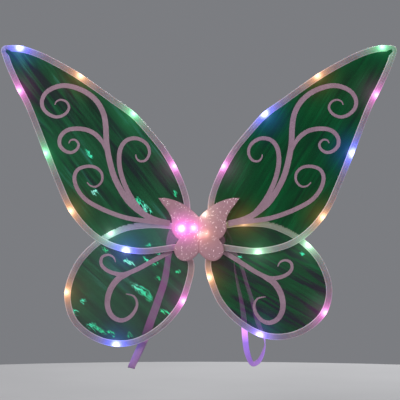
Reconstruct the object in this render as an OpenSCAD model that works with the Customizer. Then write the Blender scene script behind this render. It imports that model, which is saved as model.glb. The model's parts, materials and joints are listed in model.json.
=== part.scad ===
// Light-up fairy wings: two upper and two lower wings on a folding centre hub.
// Frame: +X is the right-hand wing seen from behind the wearer, +Z is up, and +Y points at the
// wearer's back. The origin is on the rear face of the battery box, where it rests on the back.

/* [Wings] */
// Width of the sleeve that wraps each wing's rim
sleeve_w = 9.5; // [9:0.5:12]
// Thickness of the sleeve
sleeve_t = 4; // [3.8:0.1:4.2]
// Diameter of the steel rim wire
wire_d = 2; // [1.6:0.1:2]
// Diameter of the twin light wire inside the sleeve
light_wire_d = 0.8; // [0.6:0.1:1]
// Thickness of the iridescent film
film_t = 0.25; // [0.15:0.05:0.35]
// Thickness of the glitter scrolls on the film
scroll_t = 0.4; // [0.2:0.1:0.6]
// Upward turn of the left lower wing, degrees
left_lower_tilt = 0; // [-2:0.5:3]
// Upward turn of the right lower wing, degrees
right_lower_tilt = 2.5; // [-2:0.5:3]
// Turn of the right lower wing's scrolls on their film, degrees
right_scroll_turn = -4; // [-5:0.5:3]
// Size of the right lower wing's hand-bent frame against the left one's
right_lower_size = 0.97; // [0.96:0.01:1]

/* [Hub] */
// Distance from the middle to each fold hinge's axis
hinge_x = 10; // [10:0.5:11]
// Outer radius of the hinge knuckles
knuckle_r = 3.4; // [3:0.1:3.4]
// Diameter of the hinge pins
pin_d = 2.5; // [2:0.1:2.6]
// Thickness of the butterfly cover
cover_t = 1.5; // [1:0.1:2]

/* [Battery box] */
// Width of the box
box_w = 35; // [35:0.5:36]
// Depth of the box
box_d = 15; // [15:0.5:15.5]
// Diameter of an AAA cell
cell_d = 10.5; // [10:0.1:10.5]
// Length of an AAA cell with its button
cell_l = 44.5; // [44:0.1:44.5]
// Travel of the slide switch
switch_travel = 2; // [1.5:0.1:2]

/* [Straps] */
// Width of the elastic shoulder straps
strap_w = 11; // [8:1:11]
// Thickness of the elastic
strap_t = 1; // [0.8:0.1:1.1]

/* [Hidden] */
$fn = 48;

wire_r = wire_d / 2;
pin_r = pin_d / 2;
gap = 0.3;
fit = 0.05;

// Depths, front to back, of the layers
cover_y = -30.3;
block_front = -27.3;
block_back = -17.7;
upper_y = -24.8;
lower_y = -20.2;
hinge_y = -22.3;
bracket_front = -18;

// Root block, which holds one side's four wire ends
block_in = 14.3;
block_out = 28;
block_low = -30;
block_high = 26;
socket_x = 17.5;
socket_depth = 12;
socket_r = wire_r + 0.25;
knuckle_low = -27;
knuckle_h = 9.2;
knuckle_gap = 0.4;

// Battery box
wall = 1.6;
box_low = -31;
box_high = 22.4;
bay_left = -15.9;
bay_right = 7.4;
side_left = 8.4;
side_right = 15.9;
rear_wall = 1.8;
cell_pitch = 11.4;
cell_x = -9.95;
cell_y = -7.4;
contact_low = -28.2;
contact_high = 20.4;
switch_x = 12.1;
switch_y = -8;

// Upper wing's rim centre line: the leading edge from the hub to the tip, and the trailing edge back
UPPER_LEAD = [
    [17.5, 28], [19, 48], [28, 76], [52, 121], [75, 150], [100, 177], [129, 198], [158, 219],
    [187, 238.5], [216, 255], [245, 269], [271, 276.5], [290.7, 277]
];
UPPER_TRAIL = [
    [293.8, 272.3], [286, 250], [273, 221.5], [258, 192], [235, 134], [213, 78], [192, 33],
    [162, -2], [131, -20.5], [89, -28.8], [60, -26.6], [30, -22]
];
UPPER_TIP = [290.5, 273.5];
UPPER_TIP_IN = [288.6, 272];
// Lower wing's rim centre line, from its top root round to its bottom root
LOWER_RIM = [
    [30, 8], [48, 9.5], [70, 10.6], [108, 6.5], [133, -3.5], [153, -16], [181, -45], [196, -78],
    [198.5, -104], [189, -133], [166, -155], [134, -167.5], [98, -166], [60, -145.5], [30, -112],
    [16.5, -78], [11.8, -50], [17.5, -32]
];
// Scrolls: each is [centre line, width at the root, width at the free end, start's share of the
// root's width], where a stroke that leaves another one starts narrower than it
UPPER_SCROLLS = [
    [[[44, 12.7], [70, 19.6], [92, 33], [108, 48], [127, 81], [135, 108], [139.5, 134], [140.5, 157],
      [143.5, 177], [152.5, 195], [166, 208], [185, 217.5], [204, 221], [219.5, 217.5], [231, 210],
      [237, 198], [235, 186.5], [225.5, 177], [214, 173.5], [202, 178], [196, 187.5], [199.5, 196],
      [208, 199.5], [215, 197], [217.5, 192]], 9, 1.6, 1],
    [[[141, 124], [145, 134], [153, 144.5], [166, 153], [185, 156], [200, 153], [209.5, 143],
      [210, 131], [202.5, 122.5], [192.5, 120], [184, 125], [181.5, 132.5], [187, 139],
      [193.5, 138.5], [196.5, 134]], 7, 1.6, 0.5],
    [[[78, 25], [88, 34], [100, 48.5], [113.5, 75], [120, 100], [120, 119], [116, 131], [108, 139],
      [96, 141.5], [84.5, 137.5], [76.5, 129], [75, 117.5], [81, 108], [89.5, 107], [94.5, 112],
      [95.5, 117]], 7.5, 1.6, 0.5],
    [[[44, 13], [79, 16.5], [108, 21], [131.5, 28.5], [154, 38.5], [171.5, 49.5], [184, 66],
      [188, 82.5], [183, 94], [170, 99], [156, 97.5], [147, 89], [146.5, 77], [155, 68.5],
      [164, 70], [169, 75]], 7, 1.6, 1]
];
LOWER_SCROLLS = [
    [[[41, -28.5], [69.5, -43.5], [92.5, -56], [114, -64], [128, -62.5], [140.5, -57], [148, -48],
      [146.5, -38], [137, -34.5], [129, -38.5], [126, -45.5]], 7, 1.4, 1],
    [[[96, -57], [109, -63.5], [120, -69], [131.5, -82.5], [137.5, -98], [138, -113.5],
      [131.5, -127], [119.5, -133.5], [108, -131], [97, -119.5], [93.5, -107.5], [98.5, -97],
      [110.5, -93.5]], 9.5, 1.4, 0.5]
];
// Lights: places along each rim, as shares of the rim's length
UPPER_LEFT_LIGHTS = [0.088, 0.206, 0.321, 0.44, 0.55, 0.67, 0.781, 0.905];
UPPER_RIGHT_LIGHTS = [0.088, 0.206, 0.321, 0.447, 0.559, 0.67, 0.795, 0.93];
LOWER_LEFT_LIGHTS = [0.194, 0.405, 0.628, 0.861];
LOWER_RIGHT_LIGHTS = [0.072, 0.274, 0.488, 0.701, 0.928];
// Lights near the hub, on the root block's front
LEFT_HUB_LIGHTS = [[26.4, 5.3], [8.3, 6]];
RIGHT_HUB_LIGHTS = [[10.6, -2.3], [8.3, 27.2]];
CENTRE_LIGHT = [1.5, -3.8];
hub_light_y = -28.8;
// How fast a branching scroll reaches its full width, per share of its length
start_growth = 4;

// Butterfly cover: the right half's three edges
COVER_TOP = [[0, 22.6], [11.5, 33.5], [24, 42.2], [37, 48], [49.5, 51.2], [61.2, 51.3]];
COVER_SIDE = [[61.2, 51.3], [54.4, 41.5], [47.3, 32.3], [42, 21.9], [40.8, 14], [41.6, 6], [39, -1.5],
    [34.7, -7.6], [29.9, -10.6]];
COVER_FOOT = [[29.9, -10.6], [34.8, -17.4], [37.5, -25.7], [36.2, -33.2], [31, -40], [22.7, -43.8],
    [13.6, -42.3], [5.6, -37], [0, -30.6]];

// Straps: centre lines, from the upper end at the clip round the loop to the lower end
LEFT_STRAP = [
    [-22, -17.1, 4.5], [-28.5, -17.1, 4.5], [-33, -16.8, 4], [-39, -14.6, 2], [-44, -13, -7],
    [-47.6, -12, -42], [-52.8, -12, -73], [-62.6, -12, -103], [-73.2, -12, -133], [-84, -12, -163],
    [-96, -12, -190], [-102, -11, -204], [-103, -8, -206.5], [-102, -5, -203.5], [-94.5, -5, -189],
    [-82, -5, -162], [-71.2, -5, -132], [-60.6, -5, -102], [-51, -5, -72], [-46.6, -5, -42],
    [-43, -8.5, -20], [-38.5, -13, -12], [-33, -16.2, -9.2], [-28.5, -17.1, -8.5], [-22, -17.1, -8.5]
];
RIGHT_STRAP = [
    [22, -17.1, 4.5], [28.5, -17.1, 4.5], [33, -16.6, 4.4], [40.5, -13, 3], [48.5, -12, -10],
    [53.8, -12, -32], [54, -12, -50], [58.5, -12, -77], [64, -12, -103], [68, -12, -130],
    [70, -12, -160], [73.5, -12, -184], [81.5, -12, -200], [90, -12, -196], [96.5, -12, -184],
    [99.5, -12, -168], [95.5, -11.5, -154], [89, -10, -137], [81, -8, -107], [71.5, -6, -77],
    [62.5, -5, -48], [55, -5.5, -35], [46, -8, -29.5], [38.5, -10, -24], [35, -11.5, -18],
    [35, -13.8, -12.8], [33, -16.2, -9.2], [28.5, -17.1, -8.5], [22, -17.1, -8.5]
];
// Steps along a strap between two of its points
strap_steps = 3;
// Turn of each strap's face towards its edge at each of its points, degrees
LEFT_TURNS = [
    0, 0, 0, 20, 45, 52, 42, 32, 15, 0, 0, 0, 0, 0, 0, 0, 15, 32, 42, 52, 45, 15, 0, 0, 0
];
RIGHT_TURNS = [
    0, 0, 12, 78, 88, 88, 82, 68, 57, 38, 30, 38, 52, 54, 66, 88,
    62, 47, 55, 60, 60, 56, 58, 62, 60, 40, 8, 0, 0
];
// The way the left strap's width lies in its fold, and how much that counts elsewhere
LEFT_ACROSS = [0.95, 0, -0.3];
foot_share = 0.15;

// Lead from the board, out of the case, over the bracket's top and down to the light in the middle
LEAD_ROUTE = [
    [14.2, -12.1, 17], [14.2, -14.6, 17], [13.9, -16.3, 18.5], [12.8, -16.8, 22], [9, -18.5, 24.6],
    [4.5, -22.5, 24.8], [2, -27, 22], [1.5, -28.8, 16], [1.5, -28.8, 6], [1.5, -28.8, -1.6]
];

// Centripetal Catmull-Rom curve through a list of points
function knot(a, b) = pow(max(norm(b - a), 0.001), 0.5);
function mix(a, b, ta, tb, t) = a * ((tb - t) / (tb - ta)) + b * ((t - ta) / (tb - ta));
function arc_point(p, t, k1, k2, k3) =
    let (a1 = mix(p[0], p[1], 0, k1, t))
    let (a2 = mix(p[1], p[2], k1, k2, t))
    let (a3 = mix(p[2], p[3], k2, k3, t))
    mix(mix(a1, a2, 0, k2, t), mix(a2, a3, k1, k3, t), k1, k2, t);
function span(p, n) =
    let (k1 = knot(p[0], p[1]))
    let (k2 = k1 + knot(p[1], p[2]))
    let (k3 = k2 + knot(p[2], p[3]))
    [for (i = [0 : n - 1]) arc_point(p, k1 + (k2 - k1) * i / n, k1, k2, k3)];
function spline(p, n) =
    let (last = len(p) - 1)
    let (q = concat([2 * p[0] - p[1]], p, [2 * p[last] - p[last - 1]]))
    concat([for (i = [0 : last - 1]) each span([q[i], q[i + 1], q[i + 2], q[i + 3]], n)], [p[last]]);

// Unit normals of a flat line, on its left-hand side, and the line moved along them
function turn(v) = [-v[1], v[0]] / norm(v);
function side(p, i) = turn(p[min(i + 1, len(p) - 1)] - p[max(i - 1, 0)]);
function shift(p, d) = [for (i = [0 : len(p) - 1]) p[i] + side(p, i) * d];
function reversed(p) = [for (i = [len(p) - 1 : -1 : 0]) p[i]];
function rotated(p, a, s) = [for (q = p) [cos(a) * q[0] - sin(a) * q[1], sin(a) * q[0] + cos(a) * q[1]] * s];

// Lower rim with its middle turned about the hub, and its two ends kept at the sockets
function lower_points(tilt, size) =
    let (last = len(LOWER_RIM) - 1)
    concat([LOWER_RIM[0]], rotated([for (i = [1 : last - 1]) LOWER_RIM[i]], tilt, size), [LOWER_RIM[last]]);
function lower_line(tilt, size) = spline(lower_points(tilt, size), 4);
function tip_arc(r) = [for (a = [87, 60, 34, 8, -19]) UPPER_TIP + r * [cos(a), sin(a)]];
function upper_line() = concat(spline(UPPER_LEAD, 4), tip_arc(3.5), spline(UPPER_TRAIL, 4));

// Rim loops at a distance outside the centre line, which runs clockwise (outside is on the left)
function upper_loop(d) =
    let (lead = shift(spline(UPPER_LEAD, 4), d))
    let (trail = shift(spline(UPPER_TRAIL, 4), d))
    d > -3 ? concat(lead, tip_arc(3.5 + d), trail)
    : concat([for (i = [0 : len(lead) - 2]) lead[i]], [UPPER_TIP_IN],
             [for (i = [1 : len(trail) - 1]) trail[i]]);

// Length along a line, and the point and heading at a share of it
function run(p, i = 0) = i >= len(p) - 1 ? 0 : norm(p[i + 1] - p[i]) + run(p, i + 1);
function find(p, s, i = 0) =
    let (l = norm(p[i + 1] - p[i]))
    (s <= l || i >= len(p) - 2) ? [p[i] + (p[i + 1] - p[i]) * s / l, (p[i + 1] - p[i]) / l]
    : find(p, s - l, i + 1);

// A plate from its outline in X and Z, between two depths
module slab(points, y0, y1) {
    translate([0, y1, 0]) rotate([90, 0, 0]) linear_extrude(height = y1 - y0) polygon(points);
}
// A closed band between two loops
module band(outer, inner, y0, y1) {
    slab(concat(outer, reversed(inner)), y0, y1);
}
// Solid swept along points in space, with an oval or flat section
function unit(v) = v / norm(v);
function heading(p, i) = unit(p[min(i + 1, len(p) - 1)] - p[max(i - 1, 0)]);
module swept(path, across, up, w, t, sides) {
    n = len(path);
    rings = [for (i = [0 : n - 1], j = [0 : sides - 1])
        path[i] + across[i] * w / 2 * cos(360 * j / sides) + up[i] * t / 2 * sin(360 * j / sides)];
    polyhedron(
        points = rings,
        faces = concat(
            [[for (j = [sides - 1 : -1 : 0]) j]],
            [[for (j = [0 : sides - 1]) (n - 1) * sides + j]],
            [for (i = [0 : n - 2], j = [0 : sides - 1])
                [i * sides + j, i * sides + (j + 1) % sides,
                 (i + 1) * sides + (j + 1) % sides, (i + 1) * sides + j]]
        )
    );
}
// Wire lying in a wing's plane
module flat_wire(line, y, d, sides) {
    path = [for (p = line) [p[0], y, p[1]]];
    across = [for (i = [0 : len(path) - 1]) cross(heading(path, i), [0, 1, 0])];
    swept(path, across, [for (p = line) [0, 1, 0]], d, d, sides);
}
module hand(right) {
    if (right) children();
    else mirror([1, 0, 0]) children();
}

// One light: a clear drop of resin over its chip, lying along its wire
LIGHT_DROP = [[0, -2.1], [0.5, -2], [0.9, -1.4], [1.05, -0.6], [1.05, 0.6], [0.9, 1.4], [0.5, 2], [0, 2.1]];
module light_drop(p, y, dir) {
    translate([p[0], y, p[1]])
        rotate([0, atan2(dir[0], dir[1]), 0]) rotate_extrude($fn = 16) polygon(LIGHT_DROP);
}

// Parts of one wing; line is its rim's centre line
module rim_wire(line, start, end, y) {
    color("lightgrey") flat_wire(concat([start], line, [end]), y, wire_d, 8);
}
module rim_sleeve(outer, inner, hole_outer, hole_inner, y) {
    color("thistle") difference() {
        band(outer, inner, y - sleeve_t / 2, y + sleeve_t / 2);
        band(hole_outer, hole_inner, y - 1.3, y + 1.3);
        band(hole_inner, inner, y - 0.25, y + 0.25);
    }
}
module rim_film(loop, y, tone) {
    color(tone) difference() {
        slab(concat(loop, [[block_out + 1, loop[0][1]]]), y - film_t / 2, y + film_t / 2);
        translate([-1, y - 1, block_low - 1])
            cube([block_out + 1 + gap, 2, block_high - block_low + 2]);
    }
}
module scroll_set(scrolls, y) {
    color("rosybrown") for (s = scrolls) {
        line = spline(s[0], 3);
        n = len(line) - 1;
        width = [for (i = [0 : n])
            (s[1] + (s[2] - s[1]) * pow(i / n, 2)) / 2 * min(1, s[3] + start_growth * i / n)];
        slab(concat([for (i = [0 : n]) line[i] + side(line, i) * width[i]],
                    [for (i = [n : -1 : 0]) line[i] - side(line, i) * width[i]]),
             y - film_t / 2 - scroll_t, y - film_t / 2);
    }
}
module rim_lights(line, shares, y) {
    total = run(line);
    color("lightyellow") for (s = shares) {
        f = find(line, s * total);
        light_drop(f[0], y, f[1]);
    }
}

// Upper wings
UPPER = upper_line();
module upper_sleeve(right) {
    hand(right) rim_sleeve(upper_loop(sleeve_w / 2), upper_loop(-sleeve_w / 2), upper_loop(3.4),
                           upper_loop(-2.4), upper_y);
}
module upper_wire(right) {
    hand(right) rim_wire(UPPER, [socket_x, block_high - socket_depth], [block_out - socket_depth, -22], upper_y);
}
module upper_film(right, tone) { hand(right) rim_film(upper_loop(-2), upper_y, tone); }
module upper_scrolls(right) { hand(right) scroll_set(UPPER_SCROLLS, upper_y); }
module upper_light_wire(right) {
    color("silver") hand(right) flat_wire(upper_loop(2.1), upper_y, light_wire_d, 6);
}
module upper_leds(right, hub_lights) {
    hand(right) {
        rim_lights(upper_loop(2.1), right ? UPPER_RIGHT_LIGHTS : UPPER_LEFT_LIGHTS, upper_y);
        color("lightyellow") for (p = hub_lights) light_drop(p, hub_light_y, [0, 1]);
    }
}

// Lower wings
LOWER_L = lower_line(left_lower_tilt, 1);
LOWER_R = lower_line(right_lower_tilt, right_lower_size);
function lower_side(right) = right ? LOWER_R : LOWER_L;
module lower_sleeve(right) {
    line = lower_side(right);
    hand(right) rim_sleeve(shift(line, sleeve_w / 2), shift(line, -sleeve_w / 2), shift(line, 3.4),
                           shift(line, -2.4), lower_y);
}
module lower_wire(right) {
    hand(right) rim_wire(lower_side(right), [block_out - socket_depth, 8], [socket_x, block_low + socket_depth],
                         lower_y);
}
module lower_film(right, tone) { hand(right) rim_film(shift(lower_side(right), -2), lower_y, tone); }
module lower_scrolls(right) {
    tilt = right ? right_scroll_turn : left_lower_tilt;
    size = right ? right_lower_size : 1;
    hand(right) scroll_set([for (s = LOWER_SCROLLS) [rotated(s[0], tilt, size), s[1], s[2], s[3]]], lower_y);
}
module lower_light_wire(right) {
    color("silver") hand(right) flat_wire(shift(lower_side(right), 2.1), lower_y, light_wire_d, 6);
}
module lower_leds(right) {
    shares = right ? LOWER_RIGHT_LIGHTS : LOWER_LEFT_LIGHTS;
    hand(right) rim_lights(shift(lower_side(right), 2.1), shares, lower_y);
}

// Hub hinge: knuckles 0, 2 and 4 belong to the root block, 1 and 3 to the bracket
module knuckles(numbers, web_to) {
    for (i = numbers) translate([hinge_x, hinge_y, knuckle_low + i * (knuckle_h + knuckle_gap)]) {
        cylinder(r = knuckle_r, h = knuckle_h);
        if (web_to == "block") translate([0, -2, 0]) cube([block_in - hinge_x + 1, 4, knuckle_h]);
        else translate([-2.4, 0, 0]) cube([4, bracket_front - hinge_y + 1, knuckle_h]);
    }
}
module pin_bore() {
    translate([hinge_x, hinge_y, knuckle_low - 1]) cylinder(r = pin_r + fit, h = 5 * knuckle_h + 4);
}
module root_block(right) {
    color("whitesmoke") hand(right) difference() {
        union() {
            translate([block_in, block_front, block_low])
                cube([block_out - block_in, block_back - block_front, block_high - block_low]);
            knuckles([0, 2, 4], "block");
        }
        pin_bore();
        translate([socket_x, upper_y, block_high - socket_depth]) cylinder(r = socket_r, h = socket_depth + 1);
        translate([block_out - socket_depth, upper_y, -22]) rotate([0, 90, 0]) cylinder(r = socket_r, h = socket_depth + 1);
        translate([block_out - socket_depth, lower_y, 8]) rotate([0, 90, 0]) cylinder(r = socket_r, h = socket_depth + 1);
        translate([socket_x, lower_y, block_low - 1]) cylinder(r = socket_r, h = socket_depth + 1);
        translate([24, block_back + 1, -2]) rotate([90, 0, 0]) cylinder(r = 1, h = 5);
    }
}
module hinge_pin(right) {
    color("silver") hand(right)
        translate([hinge_x, hinge_y, knuckle_low]) cylinder(r = pin_r, h = 5 * knuckle_h + 4 * knuckle_gap);
}
module cover_pad(right) {
    color("white") hand(right)
        translate([20, cover_y, -24]) cube([7, block_front - cover_y, 24]);
}
module strap_clip(right) {
    color("whitesmoke") hand(right) difference() {
        translate([20, block_back, -16]) cube([8, 2.8, 28]);
        for (z = [4.5, -8.5]) translate([19, block_back - 1, z - 5.8]) cube([10, 2.2, 11.6]);
        translate([24, block_back - 1, -2]) rotate([-90, 0, 0]) cylinder(r = 1.2, h = 5);
    }
}
module strap_screw(right) {
    color("silver") hand(right) translate([24, block_back - 2.9, -2]) rotate([-90, 0, 0]) {
        cylinder(r = 0.95, h = 5.8);
        translate([0, 0, 5.75]) cylinder(r = 2, h = 1.2);
    }
}
// Strap: a flat band whose face is kept square to the route
// The way a strap's width lies in its flat face; a folded loop keeps to the same side all along
function strap_face(t, across) =
    let (c = cross(t, [0, 1, 0]))
    across == undef ? c : c * (c * across < 0 ? -1 : 1) + foot_share * across;
module strap_band(route, turns, across) {
    path = spline(route, strap_steps);
    places = [for (k = [0 : len(turns) - 1]) [k, turns[k]]];
    wide = [for (i = [0 : len(path) - 1])
        let (t = heading(path, i))
        let (f = lookup(i / strap_steps, places))
        let (w = strap_face(t, across) * cos(f) + [0, 1, 0] * sin(f))
        unit(w - (w * t) * t)];
    up = [for (i = [0 : len(path) - 1]) cross(wide[i], heading(path, i))];
    color("pink") swept(path, wide, up, strap_w, strap_t, 8);
}
module left_strap() { strap_band(LEFT_STRAP, LEFT_TURNS, LEFT_ACROSS); }
module right_strap() { strap_band(RIGHT_STRAP, RIGHT_TURNS); }

module hub_bracket() {
    color("whitesmoke") difference() {
        union() {
            translate([-12, bracket_front, -28]) cube([24, 3, 50]);
            for (right = [true, false]) hand(right) knuckles([1, 3], "bracket");
        }
        for (right = [true, false]) hand(right) pin_bore();
        for (z = [-20, 14]) translate([0, bracket_front - 1, z]) rotate([-90, 0, 0]) cylinder(r = 1.3, h = 5);
    }
}
module hub_screws() {
    color("silver") for (z = [-20, 14]) translate([0, bracket_front - 1.2, z]) rotate([-90, 0, 0]) {
        cylinder(r = 2.2, h = 1.2);
        translate([0, 0, 1.1]) cylinder(r = 1.1, h = 4.3);
    }
}
module centre_led() { color("lightyellow") light_drop(CENTRE_LIGHT, hub_light_y, [0, 1]); }
module butterfly_cover() {
    half = concat(spline(COVER_TOP, 3), spline(COVER_SIDE, 3), spline(COVER_FOOT, 3));
    other = [for (p = reversed(half)) [-p[0], p[1]]];
    color("rosybrown") slab(concat(half, other), cover_y - cover_t, cover_y);
}

module battery_case() {
    half = box_w / 2;
    color("white") difference() {
        translate([-half, -box_d, box_low]) cube([box_w, box_d, box_high - box_low]);
        // Battery bay, open to the rear, and the side bay for the board
        translate([bay_left, -box_d + wall, box_low + wall])
            cube([bay_right - bay_left, box_d, box_high - box_low - 2 * wall]);
        translate([side_left, -box_d + wall, box_low + wall])
            cube([side_right - side_left, box_d - wall - rear_wall, box_high - box_low - 2 * wall]);
        // Door seat, its two grooves and its way out at the bottom
        translate([bay_left, -rear_wall - 0.1, box_low - 1])
            cube([bay_right - bay_left, 3, box_high - box_low - wall + 1]);
        translate([bay_left - 0.9, -rear_wall - 0.1, box_low - 1])
            cube([bay_right - bay_left + 1.8, 1, box_high - box_low - wall + 1]);
        // Slot for the switch's knob, screw pilots and the hole for the lead
        translate([switch_x - 1.3, switch_y - switch_travel - 1.4, box_low - 1])
            cube([2.6, switch_travel + 2.8, wall + 2]);
        for (z = [-20, 14]) translate([0, -box_d - 1, z]) rotate([-90, 0, 0]) cylinder(r = 1.15, h = 4);
        translate([14.2, -box_d - 1, 17]) rotate([-90, 0, 0]) cylinder(r = 0.9, h = 4);
    }
}
module battery_door() {
    low = box_low + 0.2;
    h = box_high - wall - low - 0.2;
    color("white") difference() {
        union() {
            translate([bay_left + 0.2, -rear_wall, low]) cube([bay_right - bay_left - 0.4, rear_wall, h]);
            translate([bay_left - 0.6, -rear_wall, low]) cube([bay_right - bay_left + 1.2, 0.8, h]);
        }
        for (i = [0 : 3]) translate([bay_left + 6, -0.5, low + 4 + 2 * i]) cube([11, 1, 1]);
    }
}
// An AAA cell standing up; flipped puts its button at the bottom
module cell(x, tone, flipped) {
    color(tone) translate([x, cell_y, flipped ? contact_low + 0.1 + cell_l : contact_high - 0.1 - cell_l])
        mirror([0, 0, flipped ? 1 : 0]) {
            cylinder(r = cell_d / 2, h = cell_l - 1);
            translate([0, 0, cell_l - 1.1]) cylinder(r = 1.9, h = 1.1);
        }
}
module upper_cell() { cell(cell_x, "gold", false); }
module lower_cell() { cell(cell_x + cell_pitch, "gold", true); }
module spring(x, z, flip) {
    steps = 40;
    path = [for (i = [0 : steps])
        [x + 2.6 * cos(1170 * i / steps), cell_y + 2.6 * sin(1170 * i / steps), z + flip * (0.3 + 3.3 * i / steps)]];
    across = [for (i = [0 : steps]) unit([cos(1170 * i / steps), sin(1170 * i / steps), 0])];
    up = [for (i = [0 : steps]) unit(cross(across[i], heading(path, i)))];
    swept(path, across, up, 0.5, 0.5, 6);
}
module contact_springs() {
    color("silver") {
        spring(cell_x, contact_low, 1);
        spring(cell_x + cell_pitch, contact_high, -1);
    }
}
module contact_plates() {
    color("silver") {
        for (x = [cell_x, cell_x + cell_pitch])
            translate([x - 4, cell_y - 4, contact_low - 0.4]) cube([8, 8, 0.4]);
        translate([cell_x - 4, cell_y - 4, contact_high]) cube([cell_pitch + 8, 8, 0.3]);
    }
}
module circuit_board() {
    color("seagreen") difference() {
        translate([side_left + 0.2, -box_d + wall, -22]) cube([side_right - side_left - 0.4, 1.2, 40]);
        translate([14.2, -box_d + wall - 1, 17]) rotate([-90, 0, 0]) cylinder(r = 0.9, h = 3);
    }
}
module switch_body() {
    color("dimgray") translate([switch_x - 2, switch_y - 4.9, box_low + wall + 0.1]) difference() {
        cube([4, 8.6, 4.2]);
        translate([1, 1.6, -1]) cube([2, 5, 3.2]);
    }
}
module switch_knob() {
    color("black") translate([switch_x - 0.9, switch_y - 1.2, box_low - 1.6]) cube([1.8, 2.2, 5.2]);
}
module lead_wire() {
    path = spline(LEAD_ROUTE, 4);
    across = [for (i = [0 : len(path) - 1]) unit(cross(heading(path, i), [0.6, -0.5, 0.6]))];
    up = [for (i = [0 : len(path) - 1]) cross(across[i], heading(path, i))];
    color("silver") swept(path, across, up, 0.9, 0.9, 8);
}

upper_wire(false);  // upper_left_wire
upper_sleeve(false);  // upper_left_sleeve
upper_film(false, "seagreen");  // upper_left_film
upper_scrolls(false);  // upper_left_scrolls
upper_light_wire(false);  // upper_left_light_wire
upper_leds(false, LEFT_HUB_LIGHTS);  // upper_left_leds
lower_wire(false);  // lower_left_wire
lower_sleeve(false);  // lower_left_sleeve
lower_film(false, "darkgreen");  // lower_left_film
lower_scrolls(false);  // lower_left_scrolls
lower_light_wire(false);  // lower_left_light_wire
lower_leds(false);  // lower_left_leds
upper_wire(true);  // upper_right_wire
upper_sleeve(true);  // upper_right_sleeve
upper_film(true, "seagreen");  // upper_right_film
upper_scrolls(true);  // upper_right_scrolls
upper_light_wire(true);  // upper_right_light_wire
upper_leds(true, RIGHT_HUB_LIGHTS);  // upper_right_leds
lower_wire(true);  // lower_right_wire
lower_sleeve(true);  // lower_right_sleeve
lower_film(true, "darkgreen");  // lower_right_film
lower_scrolls(true);  // lower_right_scrolls
lower_light_wire(true);  // lower_right_light_wire
lower_leds(true);  // lower_right_leds
root_block(false);  // left_root_block
root_block(true);  // right_root_block
hinge_pin(false);  // left_hinge_pin
hinge_pin(true);  // right_hinge_pin
cover_pad(false);  // left_cover_pad
cover_pad(true);  // right_cover_pad
strap_clip(false);  // left_strap_clip
strap_clip(true);  // right_strap_clip
strap_screw(false);  // left_strap_screw
strap_screw(true);  // right_strap_screw
left_strap();
right_strap();
hub_bracket();
hub_screws();
centre_led();
butterfly_cover();
battery_case();
battery_door();
upper_cell();
lower_cell();
contact_springs();
contact_plates();
circuit_board();
switch_body();
switch_knob();
lead_wire();
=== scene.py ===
# Fairy wings for a costume: four film wings on wire rims with small lights in the rims' sleeves,
# a glitter butterfly over the hub, two elastic shoulder loops and a battery box at the back.
import json
import math

import bmesh
import bpy
import numpy as np
from mathutils import Matrix, Vector, noise
from mathutils.geometry import delaunay_2d_cdt
from mathutils.kdtree import KDTree


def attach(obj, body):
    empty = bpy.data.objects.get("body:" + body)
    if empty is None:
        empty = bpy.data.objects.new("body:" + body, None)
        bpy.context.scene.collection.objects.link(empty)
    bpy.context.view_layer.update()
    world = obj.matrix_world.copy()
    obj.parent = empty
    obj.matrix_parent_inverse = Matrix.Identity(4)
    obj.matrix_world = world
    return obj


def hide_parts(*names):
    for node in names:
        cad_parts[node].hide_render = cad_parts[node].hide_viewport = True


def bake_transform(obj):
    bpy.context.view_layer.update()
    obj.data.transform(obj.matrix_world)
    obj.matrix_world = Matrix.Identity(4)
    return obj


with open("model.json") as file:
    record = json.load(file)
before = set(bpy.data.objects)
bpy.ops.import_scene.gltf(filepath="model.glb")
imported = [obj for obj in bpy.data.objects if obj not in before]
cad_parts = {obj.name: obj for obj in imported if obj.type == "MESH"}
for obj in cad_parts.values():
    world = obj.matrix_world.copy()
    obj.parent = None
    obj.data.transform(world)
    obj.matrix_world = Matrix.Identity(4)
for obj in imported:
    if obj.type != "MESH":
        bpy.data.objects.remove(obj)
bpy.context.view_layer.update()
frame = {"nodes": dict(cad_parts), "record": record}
nodes = frame["nodes"]
MM = 0.001
HANDS = {"left": -1, "right": 1}
WINGS = [(level, side) for side in HANDS for level in ("upper", "lower")]

# Camera: square on to the wings from behind the wearer, far enough back that they hardly spread, and
# wide enough to show both tips.
view_width = 0.604
view_middle = Vector((0.0015, -0.0225, 0.0483))
view_distance = 2.8
camera = bpy.data.objects.new("camera", bpy.data.cameras.new("camera"))
camera.data.angle = 2 * math.atan(view_width / 2 / view_distance)
camera.location = view_middle - Vector((0, view_distance, 0))
camera.rotation_euler = (math.pi / 2, 0, 0)
bpy.context.collection.objects.link(camera)
bpy.context.scene.camera = camera
bpy.context.scene.view_settings.view_transform = "Standard"

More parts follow.
